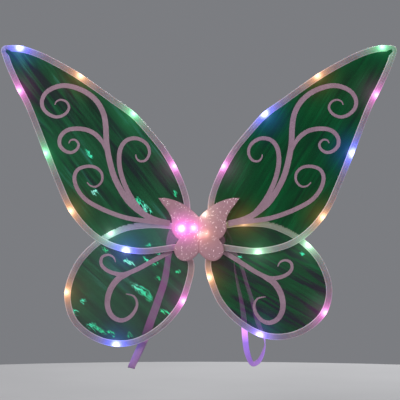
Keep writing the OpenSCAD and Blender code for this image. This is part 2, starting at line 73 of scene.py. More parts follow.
# Shoulder loops: pink woven elastic 11 mm wide, both ends clamped behind the root block of their
# side. The left loop has creased into two runs that lie on each other, the right one hangs open.
STRAP_WIDTH = 11 * MM
STRAP_THICK = 0.9 * MM
LEFT_ROUTE = [
    (-22, -17.1, 4.5), (-28.5, -17.1, 4.5), (-33, -16.8, 4), (-39, -14.6, 2), (-44, -13, -7),
    (-47.6, -12, -42), (-52.8, -12, -73), (-62.6, -12, -103), (-73.2, -12, -133), (-84, -12, -163),
    (-96, -12, -190), (-102, -11, -204), (-103, -8, -206.5), (-102, -5, -203.5), (-94.5, -5, -189),
    (-82, -5, -162), (-71.2, -5, -132), (-60.6, -5, -102), (-51, -5, -72), (-46.6, -5, -42),
    (-43, -8.5, -20), (-38.5, -13, -12), (-33, -16.2, -9.2), (-28.5, -17.1, -8.5), (-22, -17.1, -8.5),
]
RIGHT_ROUTE = [
    (22, -17.1, 4.5), (28.5, -17.1, 4.5), (33, -16.6, 4.4), (40.5, -13, 3), (48.5, -12, -10),
    (53.8, -12, -32), (54, -12, -50), (58.5, -12, -77), (64, -12, -103), (68, -12, -130),
    (70, -12, -160), (73.5, -12, -184), (81.5, -12, -200), (90, -12, -196), (96.5, -12, -184),
    (99.5, -12, -168), (95.5, -11.5, -154), (89, -10, -137), (81, -8, -107), (71.5, -6, -77),
    (62.5, -5, -48), (55, -5.5, -35), (46, -8, -29.5), (38.5, -10, -24), (35, -11.5, -18),
    (35, -13.8, -12.8), (33, -16.2, -9.2), (28.5, -17.1, -8.5), (22, -17.1, -8.5),
]
# Turn of each loop's face towards its edge at each of its points, degrees
LEFT_TURNS = [0, 0, 0, 20, 45, 52, 42, 32, 15, 0, 0, 0, 0, 0, 0, 0, 15, 32, 42, 52, 45, 15, 0, 0, 0]
RIGHT_TURNS = [
    0, 0, 12, 78, 88, 88, 82, 68, 57, 38, 30, 38, 52, 54, 66, 88,
    62, 47, 55, 60, 60, 56, 58, 62, 60, 40, 8, 0, 0,
]
# The way the left loop's width lies in its fold, and how much that counts elsewhere
LEFT_ACROSS = Vector((0.95, 0, -0.3))
FOOT_SHARE = 0.15
STRAP_STEPS = 6
STRAP_AROUND = 24


def curve_through(points, steps):
    """A smooth line through the points, with that many steps to each gap."""
    ends = [2 * points[0] - points[1], *points, 2 * points[-1] - points[-2]]
    line = []
    for a, b, c, d in zip(ends, ends[1:], ends[2:], ends[3:]):
        k1 = math.sqrt((b - a).length)
        k2 = k1 + math.sqrt((c - b).length)
        k3 = k2 + math.sqrt((d - c).length)
        for step in range(steps):
            t = k1 + (k2 - k1) * step / steps
            ab = a.lerp(b, t / k1)
            bc = b.lerp(c, (t - k1) / (k2 - k1))
            cd = c.lerp(d, (t - k2) / (k3 - k2))
            abc = ab.lerp(bc, t / k2)
            bcd = bc.lerp(cd, (t - k1) / (k3 - k1))
            line.append(abc.lerp(bcd, (t - k1) / (k2 - k1)))
    return line + [points[-1]]


def heading(line, i):
    return (line[min(i + 1, len(line) - 1)] - line[max(i - 1, 0)]).normalized()


def lengths(line):
    """How far along the line each of its points is."""
    far = [0.0]
    for a, b in zip(line, line[1:]):
        far.append(far[-1] + (b - a).length)
    return far


def piece(name, bm, material):
    """The finished object of a bmesh, in place, with smooth faces."""
    mesh = bpy.data.meshes.new(name)
    bm.to_mesh(mesh)
    bm.free()
    mesh.shade_smooth()
    mesh.materials.append(material)
    made = bpy.data.objects.new(name, mesh)
    bpy.context.collection.objects.link(made)
    return made


def laid_grid(rows, columns, place):
    """A grid of rows by columns whose every vertex is laid at place(row, column), with its UV."""
    bm = bmesh.new()
    bmesh.ops.create_grid(bm, x_segments=rows - 1, y_segments=columns - 1, size=0.5)
    layer = bm.loops.layers.uv.new("UVMap")
    spot = {}
    for v in bm.verts:
        cell = (round((v.co.x + 0.5) * (rows - 1)), round((v.co.y + 0.5) * (columns - 1)))
        v.co, spot[v] = place(*cell)
    for face in bm.faces:
        for loop in face.loops:
            loop[layer].uv = spot[loop.vert]
    return bm


def shade(tree, kind, inputs=None, **settings):
    """A shader node with its sockets set or linked."""
    part = tree.nodes.new("ShaderNode" + kind)
    for key, value in settings.items():
        setattr(part, key, value)
    for key, value in (inputs or {}).items():
        if isinstance(value, bpy.types.NodeSocket):
            tree.links.new(value, part.inputs[key])
        else:
            part.inputs[key].default_value = value
    return part


def blank(name, **values):
    """A new material, its node tree and its shader, with the shader's plain values set."""
    material = bpy.data.materials.new(name)
    material.use_nodes = True
    tree = material.node_tree
    shader = tree.nodes["Principled BSDF"]
    for key, value in values.items():
        shader.inputs[key.replace("_", " ")].default_value = value
    return material, tree, shader


def math_node(tree, operation, *values):
    return shade(tree, "Math", dict(enumerate(values)), operation=operation).outputs[0]


def ramp(tree, amount, *stops):
    """A colour that goes through the stops, each (place, colour)."""
    part = shade(tree, "ValToRGB", {"Fac": amount})
    elements = part.color_ramp.elements
    elements[0].position, elements[1].position = stops[0][0], stops[-1][0]
    elements[0].color, elements[1].color = (*stops[0][1], 1), (*stops[-1][1], 1)
    for place, colour in stops[1:-1]:
        elements.new(place).color = (*colour, 1)
    return part.outputs["Color"]


def coordinates(tree, source="Object", scale=(1, 1, 1), turn=(0, 0, 0)):
    read = shade(tree, "TexCoord").outputs[source]
    return shade(tree, "Mapping", {"Vector": read, "Scale": scale, "Rotation": turn}).outputs[0]


def bump(tree, height, depth, strength=1.0):
    return shade(tree, "Bump", {"Height": height, "Distance": depth, "Strength": strength}).outputs[0]


def glow_of(tree, shader, strength=1.0):
    """Light from the string that shows in the piece, painted on its points."""
    read = shade(tree, "Attribute", attribute_name="glow").outputs["Color"]
    tree.links.new(read, shader.inputs["Emission Color"])
    shader.inputs["Emission Strength"].default_value = strength


def woven_elastic():
    material, tree, shader = blank("elastic", Roughness=0.55, Sheen_Weight=0.35, Sheen_Roughness=0.4)
    grain = coordinates(tree, "UV", (1 / MM, 1 / MM, 1))
    ribs = shade(tree, "TexWave", {"Vector": grain, "Scale": 0.28, "Distortion": 0.4, "Detail": 1.0},
                 wave_type="BANDS", bands_direction="X").outputs["Fac"]
    picks = shade(tree, "TexWave", {"Vector": grain, "Scale": 0.34, "Distortion": 0.8, "Detail": 1.0},
                  wave_type="BANDS", bands_direction="Y").outputs["Fac"]
    weave = math_node(tree, "MULTIPLY", ribs, picks)
    patches = shade(tree, "TexNoise", {"Vector": grain, "Scale": 0.06, "Detail": 3.0}).outputs["Fac"]
    tone = math_node(tree, "ADD", math_node(tree, "MULTIPLY", weave, 0.6),
                     math_node(tree, "MULTIPLY", patches, 0.5))
    tree.links.new(ramp(tree, tone, (0.15, (0.22, 0.10, 0.17)), (0.5, (0.35, 0.17, 0.28)),
                        (0.85, (0.48, 0.28, 0.39))), shader.inputs["Base Color"])
    tree.links.new(bump(tree, weave, 0.25 * MM, 0.7), shader.inputs["Normal"])
    glow_of(tree, shader)
    return material


elastic = woven_elastic()
straps = {}
for side, route, turns in (("left", LEFT_ROUTE, LEFT_TURNS), ("right", RIGHT_ROUTE, RIGHT_TURNS)):
    strap_path = curve_through([Vector(p) * MM for p in route], STRAP_STEPS)
    strap_far = lengths(strap_path)

    def strap_across(i):
        along = heading(strap_path, i)
        twist = math.radians(np.interp(i / STRAP_STEPS, range(len(turns)), turns))
        face = along.cross(Vector((0, 1, 0)))
        if side == "left":
            face = face * (-1 if face.dot(LEFT_ACROSS) < 0 else 1) + FOOT_SHARE * LEFT_ACROSS
        wide = face * math.cos(twist) + Vector((0, 1, 0)) * math.sin(twist)
        return (wide - along * wide.dot(along)).normalized()

    def strap_point(i, j):
        angle = 2 * math.pi * j / STRAP_AROUND
        flat = -math.cos(angle)
        wide = strap_across(i)
        up = wide.cross(heading(strap_path, i))
        offset = flat * (STRAP_WIDTH / 2 - 0.1 * MM)
        curl = (offset / STRAP_WIDTH) ** 2 * 1.2 * MM
        rise = STRAP_THICK / 2 * math.sqrt(max(1 - flat ** 10, 0.0)) * (1 if angle < math.pi else -1)
        return strap_path[i] + wide * offset + up * (curl + rise), (offset, strap_far[i])

    bm = laid_grid(len(strap_path), STRAP_AROUND + 1, strap_point)
    bmesh.ops.remove_doubles(bm, verts=bm.verts, dist=0.005 * MM)
    bmesh.ops.holes_fill(bm, edges=[e for e in bm.edges if e.is_boundary])
    bmesh.ops.recalc_face_normals(bm, faces=bm.faces)
    strap = piece(f"{side}_shoulder_loop", bm, elastic)
    straps[side] = strap
    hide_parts(f"{side}_strap")
    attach(strap, f"{side}_wings")

# Lights: drops of clear resin over their chips, one every 100 mm of the wire, that shine through the
# sleeves, with five more behind the butterfly. Each has its own colour, in order along its rim.
MAGENTA = (1.0, 0.10, 0.75)
BLUE = (0.12, 0.27, 2.6)
ORANGE = (1.0, 0.40, 0.05)
GREEN = (0.04, 0.90, 0.28)
PALE_GREEN = (0.35, 1.0, 0.50)
VIOLET = (0.38, 0.24, 1.8)
WARM = (0.6, 0.38, 0.22)
RIM_COLOURS = {
    "upper_left": [MAGENTA, GREEN, ORANGE, BLUE, MAGENTA, GREEN, ORANGE, BLUE],
    "upper_right": [MAGENTA, BLUE, ORANGE, GREEN, MAGENTA, BLUE, ORANGE, PALE_GREEN],
    "lower_left": [PALE_GREEN, ORANGE, BLUE, MAGENTA],
    "lower_right": [ORANGE, PALE_GREEN, MAGENTA, VIOLET, ORANGE],
}
DIM_ORANGE = (0.34, 0.13, 0.02)
STRONG_MAGENTA = (1.9, 0.20, 1.45)
HUB_COLOURS = {"upper_left": [STRONG_MAGENTA, MAGENTA], "upper_right": [WARM, DIM_ORANGE]}


def merged_copy(name):
    """A CAD node's mesh with its loose triangles joined."""
    bm = bmesh.new()
    bm.from_mesh(nodes[name].data)
    bmesh.ops.remove_doubles(bm, verts=bm.verts, dist=0.01 * MM)
    return bm


def rim_line(level, side):
    """A rim's centre line in X and Z, the ridge of its wire, from its upper root to its lower one."""
    bm = merged_copy(f"{level}_{side}_wire")
    top = max(v.co.y for v in bm.verts) - 0.02 * MM
    ridge = {v for v in bm.verts if v.co.y > top}
    beside = {v: [e.other_vert(v) for e in v.link_edges if e.other_vert(v) in ridge] for v in ridge}
    walk = [max((v for v in ridge if len(beside[v]) == 1), key=lambda v: v.co.z)]
    while len(walk) < len(ridge):
        walk.append(next(v for v in beside[walk[-1]] if v not in walk[-2:]))
    line = [Vector((v.co.x, v.co.z)) for v in walk[1:-1]]
    bm.free()
    return curve_through(line, 3)


def beside_line(line, hand, i, distance):
    """The point at that distance outside the i-th point of a rim's line."""
    along = heading(line, i)
    return line[i] + Vector((-along.y, along.x)) * hand * distance


def drops_of(name):
    """The middle and the heading of each drop in a CAD node of lights."""
    bm = merged_copy(name)
    left = set(bm.verts)
    found = []
    while left:
        drop = {left.pop()}
        waiting = list(drop)
        while waiting:
            v = waiting.pop()
            near = {e.other_vert(v) for e in v.link_edges} - drop
            drop |= near
            waiting.extend(near)
        left -= drop
        middle = sum((v.co for v in drop), Vector()) / len(drop)
        end = max(drop, key=lambda v: (v.co - middle).length)
        found.append((middle, (end.co - middle).normalized()))
    bm.free()
    return found


# In front of this depth a drop belongs to the cover's lights, and behind it to a rim's
HUB_DEPTH = -27 * MM
RIMS = {f"{level}_{side}": rim_line(level, side) for level, side in WINGS}
lamps = {}
for wing, colours in RIM_COLOURS.items():
    drops = drops_of(f"{wing}_leds")
    hub_drops = sorted((d for d in drops if d[0].y < HUB_DEPTH), key=lambda d: d[0].x)
    rim_tree = KDTree(len(RIMS[wing]))
    for i, p in enumerate(RIMS[wing]):
        rim_tree.insert((p.x, p.y, 0), i)
    rim_tree.balance()
    rim_drops = sorted((d for d in drops if d[0].y >= HUB_DEPTH),
                       key=lambda d: rim_tree.find((d[0].x, d[0].z, 0))[1])
    lamps[wing] = list(zip(rim_drops + hub_drops, colours + HUB_COLOURS.get(wing, [])))
lamps["centre"] = [(drops_of("centre_led")[0], DIM_ORANGE)]


def resin_drop():
    material, tree, shader = blank("led_drop", Roughness=0.12, Coat_Weight=0.5)
    cloud = shade(tree, "TexNoise", {"Vector": coordinates(tree), "Scale": 1500.0,
                                     "Detail": 2.0}).outputs["Fac"]
    tree.links.new(ramp(tree, cloud, (0.3, (0.75, 0.72, 0.66)), (0.7, (0.95, 0.93, 0.88))),
                   shader.inputs["Base Color"])
    glow_of(tree, shader, 3.0)
    return material


def set_glow(made, colours):
    """Writes a colour for every point of a piece."""
    rgba = np.ones((len(made.data.vertices), 4), np.float32)
    rgba[:, :3] = colours
    paint = made.data.attributes.new("glow", "FLOAT_COLOR", "POINT")
    paint.data.foreach_set("color", rgba.ravel())


led_drop = resin_drop()
DROP_RADIUS = 1.05 * MM
for wing, strung in lamps.items():
    bm = bmesh.new()
    tones = []
    for (middle, along), colour in strung:
        upright = Vector((0, 0, 1)).rotation_difference(along).to_matrix().to_4x4()
        place = Matrix.Translation(middle) @ upright
        resin = Matrix.Diagonal((1, 1, 2, 1))
        chip = Matrix.Identity(4)
        for size, shape, white in ((DROP_RADIUS, resin, 0.35), (DROP_RADIUS * 0.45, chip, 0.9)):
            made = bmesh.ops.create_uvsphere(bm, u_segments=14, v_segments=10, radius=size,
                                             matrix=place @ shape)
            tones += [[c + (1.2 * max(colour) - c) * white for c in colour]] * len(made["verts"])
    beads = piece(f"{wing}_beads", bm, led_drop)
    set_glow(beads, tones)
    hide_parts(f"{wing}_leds" if wing != "centre" else "centre_led")
    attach(beads, "hub" if wing == "centre" else f"{wing.split('_')[1]}_wings")

lamp_places = np.array([d[0] for strung in lamps.values() for d, colour in strung])
lamp_colours = np.array([colour for strung in lamps.values() for d, colour in strung])


def paint_glow(made, core, core_power, halo, halo_power, base=None, fade=1.0, front_only=False):
    """Paints on a piece the light of every lamp: a white-hot core and a coloured halo round it."""
    points = np.array([v.co for v in made.data.vertices])
    far = np.linalg.norm(points[:, None, :] - lamp_places[None], axis=2)
    hot = core_power * np.exp(-((far / core) ** 2))
    wide = halo_power * np.exp(-((far / halo) ** fade))
    whitened = 0.55 * lamp_colours + 0.45 * lamp_colours.max(axis=1, keepdims=True)
    colours = hot @ whitened + wide @ lamp_colours
    if base is not None:
        colours = colours + np.array([base(p) for p in points])
    if front_only:
        facing = np.array([-v.normal.y for v in made.data.vertices])
        colours = colours * np.clip(facing * 1.6, 0.06, 1.0)[:, None]
    set_glow(made, colours)


def strap_light(p):
    """The string's light painted on the elastic: strong behind the lower wings, faint below them."""
    share = min(max((p[2] + 0.168) / 0.03, 0.0), 1.0)
    pick_up = 0.03 + 1.9 * share
    return (0.66 * pick_up, 0.22 * pick_up, 0.62 * pick_up)


LAMP_REACH = {"left": 24 * MM, "right": 44 * MM}
for side, strap in straps.items():
    paint_glow(strap, 12 * MM, 0.3, LAMP_REACH[side], 0.5, strap_light, fade=1.7, front_only=True)

# Rim sleeves: a ribbed tube of translucent tape 9.5 mm wide, welded along both edges over the steel
# wire and the light wire. The lights in it show as hot spots, painted on the tape with a halo of their
# colour for a way.
SLEEVE_WIDTH = 9.5 * MM
SLEEVE_RIBS = 1.7 * MM
SLEEVE_SWELL = 1.55 * MM
SLEEVE_DEPTH = {"upper": -24.8 * MM, "lower": -20.2 * MM}


def ribbed_tape():
    material, tree, shader = blank("sleeve_tape", Roughness=0.38, Subsurface_Weight=0.25,
                                   Subsurface_Scale=0.002, Coat_Weight=0.25, Coat_Roughness=0.3)
    run = coordinates(tree, "UV", (1 / MM, 1 / MM, 1))
    across = shade(tree, "SeparateXYZ", {"Vector": run}).outputs["X"]
    rib = math_node(tree, "COSINE", math_node(tree, "MULTIPLY", across, 2 * math.pi / 1.7))
    from_wire = math_node(tree, "ABSOLUTE", across)
    weld = math_node(tree, "MAXIMUM", math_node(tree, "SUBTRACT", from_wire, 3.3), 0.0)
    threads = shade(tree, "Mapping", {"Vector": run, "Scale": (3, 0.9, 1)}).outputs[0]
    knit = shade(tree, "TexNoise", {"Vector": threads, "Scale": 1.0, "Detail": 4.0}).outputs["Fac"]
    cloudy = shade(tree, "TexNoise", {"Vector": run, "Scale": 0.05, "Detail": 2.0}).outputs["Fac"]
    tone = math_node(tree, "MULTIPLY_ADD", rib, 0.20, math_node(tree, "MULTIPLY", weld, 0.45))
    tone = math_node(tree, "ADD", tone, math_node(tree, "MULTIPLY", knit, 0.35))
    tone = math_node(tree, "ADD", tone, math_node(tree, "MULTIPLY", cloudy, 0.25))
    tree.links.new(ramp(tree, tone, (0.10, (0.15, 0.12, 0.14)), (0.38, (0.31, 0.26, 0.30)),
                        (0.85, (0.76, 0.66, 0.73))), shader.inputs["Base Color"])
    tree.links.new(math_node(tree, "MINIMUM", math_node(tree, "MULTIPLY_ADD", tone, 0.25, 0.74), 0.95),
                   shader.inputs["Alpha"])
    tree.links.new(bump(tree, knit, 0.2 * MM, 0.5), shader.inputs["Normal"])
    glow_of(tree, shader)
    return material


sleeve_tape = ribbed_tape()


def bend_radius(line, i):
    """The radius of the circle through a point of the line and its two neighbours."""
    a, b, c = line[max(i - 1, 0)], line[i], line[min(i + 1, len(line) - 1)]
    cross = abs((b - a).x * (c - b).y - (b - a).y * (c - b).x)
    return 1.0 if cross < 1e-12 else (b - a).length * (c - b).length * (c - a).length / (2 * cross)


def inside_loop(loop, x, z):
    """Whether a place lies inside a closed line in X and Z."""
    inside = False
    for a, b in zip(loop, loop[1:] + loop[:1]):
        if (a.y > z) != (b.y > z) and x < a.x + (b.x - a.x) * (z - a.y) / (b.y - a.y):
            inside = not inside
    return inside


def behind_film(side):
    """The string's light painted on a lower sleeve where the upper film lies over it."""
    loop = RIMS[f"upper_{side}"][::3]
    tint = (0.20, 0.17, 0.27) if side == "left" else (0.15, 0.17, 0.12)
    return lambda p: tint if p[2] < 0.02 and inside_loop(loop, p[0], p[2]) else (0, 0, 0)


AROUND = 56
for level, side in WINGS:
    line = RIMS[f"{level}_{side}"]
    far = lengths(line)
    hand = HANDS[side]
    bends = [bend_radius(line, k) for k in range(len(line))]
    inner = [min(SLEEVE_WIDTH / 2, 0.92 * min(bends[max(i - 2, 0):i + 3])) for i in range(len(line))]
    inner = [sum(inner[max(i - 2, 0):i + 3]) / len(inner[max(i - 2, 0):i + 3]) for i in range(len(line))]

    def sleeve_point(i, j):
        angle = 2 * math.pi * j / AROUND
        flat = -math.cos(angle)
        offset = flat * (SLEEVE_WIDTH / 2 if flat > 0 else inner[i])
        uneven = 1 - 0.06 * noise.noise(Vector((far[i] * 90, flat, level == "upper")))
        swell = SLEEVE_SWELL * math.sqrt(max(1 - flat ** 4, 0.0)) * uneven
        rib = 0.13 * MM * math.cos(2 * math.pi * offset / SLEEVE_RIBS) * (1 - flat ** 6)
        at = beside_line(line, hand, i, offset)
        face = 0 if j in (0, AROUND // 2, AROUND) else -1 if angle < math.pi else 1
        return Vector((at.x, SLEEVE_DEPTH[level] + face * (swell + rib), at.y)), (offset, far[i])

    bm = laid_grid(len(line), AROUND + 1, sleeve_point)
    bmesh.ops.remove_doubles(bm, verts=bm.verts, dist=0.005 * MM)
    bmesh.ops.holes_fill(bm, edges=[e for e in bm.edges if e.is_boundary])
    bmesh.ops.recalc_face_normals(bm, faces=bm.faces)
    sleeve = piece(f"{level}_{side}_rim_sleeve", bm, sleeve_tape)
    paint_glow(sleeve, 4.6 * MM, 2.0, 10 * MM, 1.4, behind_film(side) if level == "lower" else None)
    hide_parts(f"{level}_{side}_sleeve")
    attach(sleeve, f"{side}_wings")

# Films: clear iridescent sheet 0.25 mm thick, stretched in each rim and held in its sleeve. It pulls
# into long folds towards the hub, and the lower left one is crumpled in a dozen places.
FILM_THICK = 0.25 * MM
FILM_EDGE = -2 * MM
FILM_STEP = {"upper": 2.2 * MM, "lower": 1.8 * MM}
FOLD_HEADING = {"upper_left": -52, "upper_right": 58, "lower_left": -42, "lower_right": -30}
FOLD_HEIGHT = {"upper_left": 0.55, "upper_right": 0.3, "lower_left": 0.7, "lower_right": 0.9}
# Crumpled places of each film, where painted glints are drawn too: middle, length, width and turn of each
# crease
CRUMPLES = {
    "upper_left": [(-85, 41, 15, 3, -47), (-78, 33, 7, 3, -35), (-157, 60, 5, 3, -32), (-35, 57, 6, 2, -58),
                   (-166, 118, 8, 2, -50)],
    "upper_right": [],
    "lower_left": [(-87, -88, 15, 4, -34), (-76, -97, 7, 4, -70), (-51, -121, 7, 2.5, -25),
                   (-187, -121, 6, 3, -40), (-155, -147, 13, 3, -24), (-162, -140, 6, 3, -20),
                   (-175, -105, 4, 3, 10),
                   (-133, -154, 6, 3, -35), (-104, -155, 5, 3, 15), (-110, -44, 5, 2.5, -38),
                   (-62, -70, 4, 2, -30), (-73, -19, 8, 2, 3), (-32, -61, 4, 2.5, 40),
                   (-141, -27, 6, 2, -40), (-79, -42, 6, 2, -40), (-103, -47, 7, 2, -28),
                   (-60, -32, 4, 2, -10), (-66, -48, 4, 2, 25)],
    "lower_right": [(156, -33, 4, 2, -38), (62, -38, 3, 2, 20)],
}
BLOCK_EDGE = 28.3 * MM


def film_outline(wing, hand):
    """The film's cut edge, in X and Z, with its notch round the root block."""
    line = RIMS[wing]
    edge = [beside_line(line, hand, i, FILM_EDGE) for i in range(len(line))]
    edge = [p for p in edge if abs(p.x) > BLOCK_EDGE or p.y > 27 * MM or p.y < -31 * MM]
    first, last = edge[0], edge[-1]
    corner = BLOCK_EDGE * hand
    if wing.startswith("upper"):
        return edge + [Vector((corner, last.y)), Vector((corner, 27.2 * MM)), Vector((first.x, 27.2 * MM))]
    return edge + [Vector((last.x, -31.2 * MM)), Vector((corner, -31.2 * MM)), Vector((corner, first.y))]


def creased(wing, x, z):
    """How near a crease a place is, from 0 to 1, and the ridge that the crease raises there."""
    nearest, ridge = 0.0, 0.0
    for cx, cz, long, wide, turn in CRUMPLES[wing]:
        dx, dz = x / MM - cx, z / MM - cz
        turn = math.radians(turn)
        along = dx * math.cos(turn) + dz * math.sin(turn)
        over = dz * math.cos(turn) - dx * math.sin(turn)
        near = math.exp(-((along / (1.1 * long)) ** 2) - (over / (1.3 * wide)) ** 2)
        if near > 0.02:
            bend = 1 - 3.2 * abs(noise.noise(Vector((along / 11 + cx, over / 3.2, cz))))
            nearest, ridge = max(nearest, near), max(ridge, near * max(bend, 0.0))
    return nearest, ridge


def fold_rise(wing, x, z):
    """How far the film stands off its plane: long tension folds and the crumpled places."""
    turn = math.radians(FOLD_HEADING[wing])
    along = x * math.cos(turn) + z * math.sin(turn)
    over = z * math.cos(turn) - x * math.sin(turn)
    seed = sum(map(ord, wing)) * 0.37
    over += 4 * MM * noise.noise(Vector((along / 0.05, over / 0.03, seed)))
    folds = noise.noise(Vector((along / 0.09, over / 0.011, seed)))
    folds += 0.45 * noise.noise(Vector((along / 0.06, over / 0.0055, seed + 9)))
    rise = folds * FOLD_HEIGHT[wing]
    return (rise + 1.2 * creased(wing, x, z)[1]) * MM


def easing(distance):
    """From nothing at the sleeve to all of it a little way in."""
    t = min(max((distance - 4 * MM) / (12 * MM), 0.0), 1.0)
    return t * t * (3 - 2 * t)


def edge_tree(outline):
    tree = KDTree(len(outline))
    for i, p in enumerate(outline):
        tree.insert((p.x, p.y, 0), i)
    tree.balance()
    return tree


def filled(outline, step):
    """A fine mesh of triangles inside a closed outline in X and Z, and its distances to the edge."""
    dense = []
    for a, b in zip(outline, outline[1:] + outline[:1]):
        parts = max(round((b - a).length / step), 1)
        dense += [a.lerp(b, k / parts) for k in range(parts)]
    edge = edge_tree(dense)
    low = Vector((min(p.x for p in dense), min(p.y for p in dense)))
    high = Vector((max(p.x for p in dense), max(p.y for p in dense)))
    points = list(dense)
    rows = int((high.y - low.y) / (step * 0.866)) + 1
    for row in range(rows):
        z = low.y + row * step * 0.866
        crossings = sorted(a.x + (b.x - a.x) * (z - a.y) / (b.y - a.y)
                           for a, b in zip(dense, dense[1:] + dense[:1]) if (a.y > z) != (b.y > z))
        for enter, leave in zip(crossings[::2], crossings[1::2]):
            first = math.ceil((enter - low.x) / step - row % 2 / 2)
            last = math.floor((leave - low.x) / step - row % 2 / 2)
            for k in range(first, last + 1):
                p = Vector((low.x + (k + row % 2 / 2) * step, z))
                if edge.find((p.x, p.y, 0))[2] > 0.6 * step:
                    points.append(p)
    rim = [(i, (i + 1) % len(dense)) for i in range(len(dense))]
    corners, _, faces, _, _, _ = delaunay_2d_cdt(points, rim, [], 1, 1e-7)
    bm = bmesh.new()
    made = [bm.verts.new((p.x, 0, p.y)) for p in corners]
    for face in faces:
        bm.faces.new([made[i] for i in face])
    bmesh.ops.delete(bm, geom=[v for v in bm.verts if not v.link_faces], context="VERTS")
    bmesh.ops.recalc_face_normals(bm, faces=bm.faces)
    if sum(f.normal.y for f in bm.faces) > 0:
        bmesh.ops.reverse_faces(bm, faces=bm.faces)
    return bm, edge


def glow_with(tree, shader, colour):
    """The string's painted light in the piece, with more painted light of that colour added."""
    glow = shade(tree, "Attribute", attribute_name="glow").outputs["Color"]
    both = shade(tree, "Mix", {"Factor": 1.0}, data_type="RGBA", blend_type="ADD")
    tree.links.new(glow, both.inputs[6])
    tree.links.new(colour, both.inputs[7])
    tree.links.new(both.outputs[2], shader.inputs["Emission Color"])
    shader.inputs["Emission Strength"].default_value = 1.0


def iridescent_film(name, wing, tones, streak_share, opacity):
    material, tree, shader = blank(name, Roughness=0.24, Specular_IOR_Level=0.12,
                                   Coat_Weight=0.04, Coat_Roughness=0.08)
    drawn = coordinates(tree, "Object", (1, 1, 1), (0, math.radians(FOLD_HEADING[wing]), 0))

    def drawn_out(scale, detail, distortion=0.0):
        """Noise pulled out along the film's folds."""
        at = shade(tree, "Mapping", {"Vector": drawn, "Scale": scale}).outputs[0]
        return shade(tree, "TexNoise", {"Vector": at, "Scale": 1.0, "Detail": detail,
                                        "Distortion": distortion}).outputs["Fac"]

    # Green streaks drawn out along the folds: the film's own colour, with its palest streaks a painted
    # reflection of the lights.
    fine = drawn_out((9, 9, 300), 4.0)
    broad = drawn_out((7, 7, 62), 3.0, 0.5)
    dark_lines = drawn_out((8, 8, 100), 2.0, 1.0 if wing == "lower_right" else 0.4)
    patch = drawn_out((13, 13, 13), 2.0)
    mixed = math_node(tree, "MULTIPLY_ADD", fine, 0.30, math_node(tree, "MULTIPLY", broad, 0.46))
    mixed = math_node(tree, "ADD", mixed, math_node(tree, "MULTIPLY", patch, 0.24))
    green = ramp(tree, mixed, (0.38, tones[0]), (0.47, tones[1]), (0.55, tones[2]), (0.63, tones[3]))
    # Dark lines along the folds: painted dark reflections mixed into the base colour.
    streak_edge = 0.53 if wing == "lower_right" else 0.46
    line_share = ramp(tree, dark_lines, (streak_edge - 0.12, (streak_share,) * 3),
                      (streak_edge, (0, 0, 0)))
    streaked = shade(tree, "Mix", {"Factor": line_share}, data_type="RGBA")
    tree.links.new(green, streaked.inputs[6])
    streaked.inputs[7].default_value = (0.010, 0.012, 0.022, 1)
    tree.links.new(streaked.outputs[2], shader.inputs["Base Color"])
    # Painted glints: bright green-cyan light drawn as strands along the crumpled creases and added to the
    # emission.
    crease = shade(tree, "Attribute", attribute_name="crumple_and_glint").outputs["Fac"]
    shards = drawn_out((75, 75, 270), 3.0, 0.5)
    ridge = math_node(tree, "SUBTRACT", 1.0, math_node(tree, "MULTIPLY", math_node(
        tree, "ABSOLUTE", math_node(tree, "SUBTRACT", shards, 0.5)), 15.0))
    ridge = math_node(tree, "MAXIMUM", ridge, 0.0)
    strand = math_node(tree, "MULTIPLY", math_node(tree, "MULTIPLY", ridge, crease), 2.6)
    glint = math_node(tree, "ADD", strand, math_node(tree, "MULTIPLY_ADD", crease, 0.6, -0.46))
    glint = math_node(tree, "MINIMUM", math_node(tree, "MAXIMUM", glint, 0.0), 1.35)
    tint = ramp(tree, patch, (0.38, (0.02, 0.62, 0.22)), (0.52, (0.05, 0.85, 0.50)),
                (0.66, (0.40, 1.0, 0.92)))
    lit = shade(tree, "Mix", {"Factor": glint}, data_type="RGBA")
    lit.inputs[6].default_value = (0, 0, 0, 1)
    tree.links.new(tint, lit.inputs[7])
    glow_with(tree, shader, lit.outputs[2])
    clear = shade(tree, "Attribute", attribute_name="clear").outputs["Fac"]
    body = math_node(tree, "MULTIPLY_ADD", broad, 0.08, opacity)
    tree.links.new(math_node(tree, "MULTIPLY", body, math_node(tree, "MULTIPLY_ADD", clear, -0.82, 1.0)),
                   shader.inputs["Alpha"])
    depth = math_node(tree, "ADD", fine, math_node(tree, "MULTIPLY", crease, 2.0))
    tree.links.new(bump(tree, depth, 0.25 * MM, 0.6), shader.inputs["Normal"])
    return material


FILM_TONES = {
    "left": [(0.004, 0.028, 0.015), (0.007, 0.074, 0.028), (0.012, 0.105, 0.040), (0.030, 0.170, 0.110)],
    "right": [(0.001, 0.038, 0.014), (0.001, 0.066, 0.018), (0.002, 0.088, 0.024), (0.004, 0.125, 0.040)],
}
STREAK_SHARE = {"upper_left": 0.80, "upper_right": 0.12, "lower_left": 0.5, "lower_right": 0.95}
OPACITY = {"upper_left": 0.79, "upper_right": 0.86, "lower_left": 0.60, "lower_right": 0.72}
LOWER_LOOPS = {side: [beside_line(RIMS[f"lower_{side}"], hand, i, SLEEVE_WIDTH / 2)
                      for i in range(0, len(RIMS[f"lower_{side}"]), 3)] for side, hand in HANDS.items()}


def lens_light(wing):
    """The string's light painted on the film between the bands, where the left wings lie over each other.
    """
    if wing != "lower_left":
        return None
    loop = RIMS["upper_left"][::3]
    return lambda p: (0.012, 0.065, 0.055) if inside_loop(loop, p[0], p[2]) else (0, 0, 0)


